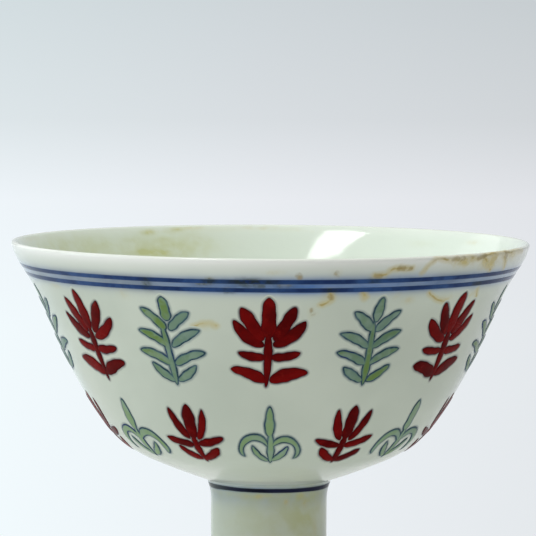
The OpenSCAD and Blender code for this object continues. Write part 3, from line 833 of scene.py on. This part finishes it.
def strokesOf(ornament):
    strokes = list(ornament["single"])
    for x, y, heading, length, width, bend in ornament["paired"]:
        for side in (-1, 1):
            strokes.append((side * x, y, side * heading, length, width, side * bend))
    return strokes


def handDrawn(stroke, chance):  # the small unevenness of a brush
    x, y, heading, length, width, bend = stroke

    def stray(key):
        return chance.uniform(*rowLook[key])

    return (x + stray("place"), y + stray("place"), heading + stray("heading"), length * stray("length"),
            width * stray("width"), bend + stray("bend"), stray("wave"), stray("wave"))


def strokeRows(stroke):  # rows across it: middle, side direction, half width, way from the nearer tip, share
    x, y, heading, length, width, bend, waveA, waveB = stroke
    turn = bend if abs(bend) > rowLook["leastBend"] else rowLook["leastBend"]
    k = length / radians(turn)
    a = radians(heading)
    made = []
    for i in range(rowLook["rows"] + 1):
        t = (1 - cos(pi * i / rowLook["rows"])) / 2
        b = radians(heading + turn * t)
        half = width / 2 * (1 - abs(2 * t - 1) ** 3) ** 0.6 * (1.1 - 0.25 * t)
        half *= 1 + 0.07 * sin(9 * t + waveA) + 0.04 * sin(21 * t + waveB)
        middle = (x + k * (cos(a) - cos(b)), y + k * (sin(b) - sin(a)))
        made.append((middle, (cos(b), -sin(b)), half, min(t, 1 - t) * length, t))
    return made


def sideSteps(half):  # ways in from one edge of a stroke, closer at the outline
    e = min(rowLook["outline"], 0.6 * half)
    return [0.0, 0.35 * e, 0.75 * e, e, e + 0.35 * (half - e), half]


def outlineOf(made):  # the closed edge of a stroke, with the direction away from it
    right = [(m[0] + h * d[0], m[1] + h * d[1]) for m, d, h, tip, t in made[:-1]]
    left = [(m[0] - h * d[0], m[1] - h * d[1]) for m, d, h, tip, t in reversed(made[1:])]
    loop = right + left
    around = []
    for i, (x, y) in enumerate(loop):
        a, b = loop[i - 1], loop[(i + 1) % len(loop)]
        size = dist(a, b)
        around.append((x, y, (b[1] - a[1]) / size, (a[0] - b[0]) / size))
    return around


def bleedMaterial(name, colour):
    material, root = startMaterial(name)
    place = placeOf(root)
    near = layerOf(root, "edge").rise(-0.44, 0.12)
    near = near * (0.55 + 0.6 * mottle(place, 240, 3).rise(0.3, 0.7))
    body = near.least(1.0).tint(glazeBody(place), colour)
    dull = 0.05 * mottle(place, 140, 4, 0.55, 0.6)
    endMaterial(root, {"Base Color": body, "Roughness": glazeLook["roughness"] + dull, "IOR": 1.5,
                       "Normal": glazePeel(place)})
    return material


def wallPlacer(ornament, row):  # lays the ornament's flat drawing on the bowl's wall
    drop = row["drop"]
    room = (pi * wallAt(drop)[0] / rowLook["repeats"] - row["gap"], row["high"])
    fit = [room[i] / ornament["box"][i] for i in (0, 1)]

    def place(x, y, lift, bearing, tilt, size):
        u = (x * cos(tilt) + y * sin(tilt)) * size * fit[0]
        v = (y * cos(tilt) - x * sin(tilt)) * size * fit[1]
        station = wallAt(drop - v)
        r, z = shifted(station, lift)
        return roundAt(r, bearing + u / station[0], z)

    return place


def strokeLoops(made, level, add):  # loops of points along a domed stroke, one point at each tip
    look, loops = rowLook, []
    for (mx, my), (sx, sy), half, tip, t in made:
        if half < look["tipHalf"]:
            loops.append([add(mx, my, -look["edgeSink"], 0.0)])
            continue
        steps, loop = sideSteps(half), []
        for off in [-half + d for d in steps] + [half - d for d in reversed(steps[:-1])]:
            rim = min(half - abs(off), tip)
            lift = -look["edgeSink"] + look["dome"] * (1 - exp(-rim / look["domeWay"]))
            loop.append(add(mx + off * sx, my + off * sy, lift + look["overlap"] * level, rim))
        for off in (look["backShare"] * half, -look["backShare"] * half):
            loop.append(add(mx + off * sx, my + off * sy, -look["sink"], 0.0))
        loops.append(loop)
    return loops


def makeRow(name, ornament, row, first, seed, material, bleed, slot, node):
    chance, look = random.Random(seed), rowLook
    strokes, place = strokesOf(ornament), wallPlacer(ornament, row)
    points, faces, corners, edge, tone, bled = [], [], [], [], [], []

    def add(x, y, lift, rim):
        points.append(place(x, y, lift, bearing, tilt, size))
        edge.append(rim)
        tone.append(shade)
        return len(points) - 1

    def close(spots, flat):  # a face that looks outward, with its places on the flat sheet
        faces.append(tuple(reversed(spots)))
        for pair in reversed(flat):
            corners.extend(pair)

    def wrap(a, b, ua, ub, low, tall):  # faces between two loops of points
        n = max(len(a), len(b))
        for j in range(n):
            h = (j + 1) % n
            va, vb = low + tall * j / n, low + tall * (j + 1) / n
            if len(a) == 1:
                close((a[0], b[j], b[h]), [(ua, (va + vb) / 2), (ub, va), (ub, vb)])
            elif len(b) == 1:
                close((a[j], b[0], a[h]), [(ua, va), (ub, (va + vb) / 2), (ua, vb)])
            else:
                close((a[j], b[j], b[h], a[h]), [(ua, va), (ub, va), (ub, vb), (ua, vb)])

    for i in range(look["repeats"]):
        bearing = radians(first - 90 + 360 * i / look["repeats"] + chance.uniform(*look["bearing"]))
        tilt, size = radians(chance.uniform(*look["tilt"])), chance.uniform(*look["size"])
        left, wide = i / look["repeats"], look["cellWide"] / look["repeats"]
        for k, stroke in enumerate(strokes):
            shade = chance.random()
            made = strokeRows(handDrawn(stroke, chance))
            loops, along = strokeLoops(made, k, add), [m[4] for m in made]
            low, tall = k / len(strokes), look["bodyTall"] / len(strokes)
            for a, b, ta, tb in zip(loops, loops[1:], along, along[1:]):
                wrap(a, b, left + wide * ta, left + wide * tb, low, tall)
            rings = [[add(x + out * nx, y + out * ny, lift, -out) for out, lift in look["bleed"]]
                     for x, y, nx, ny in outlineOf(made)]
            low, tall = (k + look["bleedLow"]) / len(strokes), look["bleedTall"] / len(strokes)
            drawn, n = len(faces), len(rings)
            for j, (a, b) in enumerate(zip(rings, rings[1:] + rings[:1])):
                wrap(a, b, left + wide * j / n, left + wide * (j + 1) / n, low, tall)
            bled += range(drawn, len(faces))
    piece = makePiece(name, (points, faces, corners), {"edge": edge, "tone": tone}, material, slot, [node])
    piece.data.materials.append(bleed)
    for f in bled:
        piece.data.polygons[f].material_index = 1


redLook = {"deep": rgb(86, 3, 4), "bright": rgb(120, 9, 8), "thin": rgb(146, 30, 20),
           "rim": rgb(66, 4, 10), "outline": rgb(40, 28, 48), "bleed": rgb(96, 84, 88), "gloss": 0.025}


def redMaterial():
    material, root = startMaterial("iron_red_enamel")
    place = placeOf(root)
    rim, tone = layerOf(root, "edge"), layerOf(root, "tone")
    wash = mottle(place, 260, 4, 0.6, 0.8)
    body = (wash * 0.75 + tone * 0.25).rise(0.32, 0.66).tint(redLook["deep"], redLook["bright"])
    worn = mottle(place, 900, 4, 0.6).rise(0.6, 0.76) * 0.45
    body = worn.tint(body, redLook["thin"])
    body = ((1 - rim.rise(0.1, 0.34)) * 0.6).tint(body, redLook["rim"])
    blue = (1 - rim.rise(0.06, 0.16)) * mottle(place, 210, 3, 0.5, 0.5).rise(0.36, 0.6)
    body = blue.tint(body, redLook["outline"])
    skin = mottle(place, 1500, 3) + 0.6 * wash
    endMaterial(root, {"Base Color": body, "Roughness": 0.2 + 0.12 * wash,
                       "Specular IOR Level": redLook["gloss"], "Normal": bumpOf(skin, 0.12, 0.0002)})
    return material


greenLook = {
    "pale": rgb(122, 148, 128), "leaf": rgb(112, 140, 76), "cool": rgb(104, 134, 130),
    "mist": rgb(146, 166, 152), "thin": rgb(164, 190, 154), "thinShare": 0.5, "bleed": rgb(98, 120, 126),
    "gloss": 0.04,
    "outline": rgb(44, 68, 84), "outlineSoft": rgb(84, 110, 120), "pool": rgb(42, 60, 104),
}


def greenMaterial():
    material, root = startMaterial("leaf_green_enamel")
    place = placeOf(root)
    rim, tone = layerOf(root, "edge"), layerOf(root, "tone")
    wash = mottle(place, 150, 4, 0.6, 0.8)
    body = (wash * 0.7 + tone * 0.3).rise(0.36, 0.62).tint(greenLook["pale"], greenLook["leaf"])
    cool = mottle(place, 95, 3, 0.5, 0.4).rise(0.5, 0.72) * 0.8
    body = cool.tint(body, greenLook["cool"])
    height = root.node("SeparateXYZ", None, {0: place}, "Z")
    between = wallAt((rows["upper"]["drop"] + rows["lower"]["drop"]) / 2)[1] * mm
    low = (1 - height.rise(between - mm, between + mm)) * mottle(place, 60, 2).rise(0.25, 0.55)
    body = (low * greenLook["thinShare"]).tint(body, greenLook["thin"])  # the lower row is washed on thinner
    body = (mottle(place, 330, 3, 0.5, 0.7).rise(0.46, 0.64) * 0.5).tint(body, greenLook["mist"])
    brush = mottle(place, 700, 4, 0.6)
    line = brush.rise(0.35, 0.7).tint(greenLook["outline"], greenLook["outlineSoft"])
    line = mottle(place, 210, 3, 0.5, 0.5).rise(0.52, 0.66).tint(line, greenLook["pool"])
    body = ((1 - rim.rise(0.2, 0.55)) * 0.6).tint(body, greenLook["cool"])
    drawn = 1 - (rim + 0.16 * brush).rise(0.26, 0.44)
    body = drawn.tint(body, line)
    endMaterial(root, {"Base Color": body, "Roughness": 0.14 + 0.1 * wash,
                       "Specular IOR Level": greenLook["gloss"], "Normal": bumpOf(brush, 0.08, 0.0002)})
    return material


red = (redMaterial(), bleedMaterial("red_bleed", redLook["bleed"]))
green = (greenMaterial(), bleedMaterial("blue_bleed", greenLook["bleed"]))
half = 180 / rowLook["repeats"]
for name, ornament, row, first, seed, paints, slot in (
        ("red_enamel_upper", "lotus", "upper", 0, 21, red, "red_enamel"),
        ("green_enamel_upper", "spray", "upper", half, 22, green, "green_enamel"),
        ("red_enamel_lower", "bud", "lower", half, 23, red, "red_enamel"),
        ("green_enamel_lower", "cloud", "lower", 0, 24, green, "green_enamel")):
    makeRow(name + "_brushwork", ornaments[ornament], rows[row], first, seed, *paints, slot, name)
print("stage: four rows of enamel painted")


# Floor, backdrop, light and camera

view = {"lens": 269.1, "sensor": 36, "far": 200, "at": (-0.000355, -0.618, 0.12125), "down": 4.2115,
        "roll": 0.35}
stageLook = {
    "size": 60.0, "floor": rgb(237, 240, 239), "fibre": rgb(234, 237, 236),
    "clear": (0.12, 0.24),  # ways from the axis over which paper and shadow give way to the backdrop
    # backdrop colours by nearness, a painted shade that dims away from the cup, and each channel's painted
    # fall of light from left to right: even, right half, left half
    "shadeByNearness": [(0.05, rgb(206, 213, 217)), (0.25, rgb(216, 221, 225)), (0.39, rgb(233, 236, 241)),
              (0.6, rgb(236, 241, 245)), (1.0, rgb(236, 241, 245))],
    "widest": 0.1, "lightTilts": {"Red": (0.8, 0.2, 0.0), "Green": (0.7, 0.4, 0.6), "Blue": (0.6, 0.55, 0.6)},
}


def seenRay(root):  # rays that show the backdrop as it is: to the eye, in gloss and through glass
    path = root.node("LightPath", None, None, "Is Camera Ray")
    rays = path.socket.node
    total = path
    for name in ("Is Glossy Ray", "Is Transmission Ray"):
        total = total + Wire(root.tree, rays.outputs[name])
    return total.least(1.0)


def floorMaterial():
    material, root = startMaterial("pale_paper")
    place = root.node("NewGeometry", None, None, "Position")
    flat = root.vector("MULTIPLY", place, (1, 1, 0))
    away = root.node("VectorMath", {"operation": "LENGTH"}, {0: flat}, "Value")
    near = 1.0 / (away - view["at"][1])
    # painted shade: the backdrop glows dimmer far from the cup and falls off from left to right
    ramp = root.node("ValToRGB", {"stops": stageLook["shadeByNearness"]}, {"Fac": near / 1.2})
    side = root.node("SeparateXYZ", None, {0: place}, "X")
    slope = (side * near).most(-stageLook["widest"]).least(stageLook["widest"])
    left, right = (0.0 - slope).most(0.0), slope.most(0.0)
    lightTilts = {key: 1 - slope * a - right * b + left * c for key, (a, b, c) in stageLook["lightTilts"].items()}
    tilt = root.node("CombineColor", None, lightTilts)
    shade = root.node("Mix", {"data_type": "RGBA", "blend_type": "MULTIPLY"},
                      {0: 1.0, 6: ramp, 7: tilt}, 2)
    glow = root.node("Emission", None, {"Color": shade, "Strength": 1.0})
    fibre = mottle(place, 400, 3).rise(0.2, 0.8).tint(stageLook["floor"], stageLook["fibre"])
    paper = root.node("BsdfPrincipled", None, {"Base Color": fibre, "Roughness": 0.9})
    backdrop = seenRay(root) * away.rise(*stageLook["clear"])
    both = root.node("MixShader", None, {0: backdrop, 1: paper, 2: glow})
    root.node("OutputMaterial", None, {"Surface": both})
    return material


def makeFloor():
    h = stageLook["size"]
    mesh = bpy.data.meshes.new("floor")
    mesh.from_pydata([(-h, -h, 0), (h, -h, 0), (h, h, 0), (-h, h, 0)], [], [(0, 1, 2, 3)])
    mesh.materials.append(floorMaterial())
    floor = linked("floor", mesh)


lamps = {
    "window": {"at": (-0.419, -0.378, 1.07), "aim": (-0.853, -0.745, 0.249), "turn": 34.6,
               "size": (0.298, 0.52), "power": 5.7, "colour": (1.0, 1.0, 1.0)},
    "key": {"at": (-0.40, -0.44, 0.78), "size": (0.56, 0.42), "power": 2.2, "colour": (1.0, 1.0, 0.98),
            "mirrored": False},
    "right": {"at": (0.55, -0.55, 0.2), "size": (0.4, 0.4), "power": 0.3, "colour": (1.0, 0.97, 0.84),
              "mirrored": False},
    "left": {"at": (-0.75, -0.10, 0.16), "size": (0.5, 0.4), "power": 1.15, "colour": (0.85, 0.98, 1.0)},
    "behind": {"at": (-0.55, 0.5, 0.3), "size": (0.5, 0.5), "power": 0.55, "colour": (0.97, 0.99, 1.0)},
    "top": {"at": (0.0, 0.1, 1.1), "size": (0.9, 0.9), "power": 8.2, "colour": (1.0, 1.0, 0.99),
            "mirrored": False},
}
lampAim = (0, 0, 0.06)  # where a lamp points if it has no aim of its own
worldLook = {"strength": 0.03, "colour": (0.95, 0.98, 1.0, 1), "seen": rgb(206, 213, 217)}


def makeLights():
    for name, lamp in lamps.items():
        light = bpy.data.lights.new(name, "AREA")
        light.shape = "RECTANGLE"
        light.size, light.size_y = lamp["size"]
        light.energy = lamp["power"]
        light.color = lamp["colour"]
        holder = linked(name, light)
        holder.location = lamp["at"]
        aim = Vector(lamp.get("aim", lampAim)) - Vector(lamp["at"])
        turn = Matrix.Rotation(radians(lamp.get("turn", 0)), 3, "Z")
        holder.rotation_euler = (aim.to_track_quat("-Z", "Y").to_matrix() @ turn).to_euler()
        holder.visible_glossy = lamp.get("mirrored", True)
    world = bpy.data.worlds.new("soft_room")
    world.use_nodes = True
    world.node_tree.nodes.clear()
    root = Wire(world.node_tree)
    dim = root.node("Background", None,
                    {"Color": worldLook["colour"], "Strength": worldLook["strength"]})
    seen = root.node("Background", None, {"Color": worldLook["seen"], "Strength": 1.0})
    both = root.node("MixShader", None, {0: seenRay(root), 1: dim, 2: seen})
    root.node("OutputWorld", None, {"Surface": both})
    bpy.context.scene.world = world


def makeCamera():
    lens = bpy.data.cameras.new("camera")
    lens.sensor_width = view["sensor"]
    lens.lens = view["lens"]
    lens.clip_end = view["far"]
    camera = linked("camera", lens)
    tip = Matrix.Rotation(radians(90 - view["down"]), 4, "X")
    roll = Matrix.Rotation(radians(view["roll"]), 4, "Z")
    camera.matrix_world = Matrix.Translation(view["at"]) @ tip @ roll
    bpy.context.scene.camera = camera


makeFloor()
makeLights()
makeCamera()
bpy.context.scene.view_settings.view_transform = "Standard"
print("stage: floor, lights and camera set")
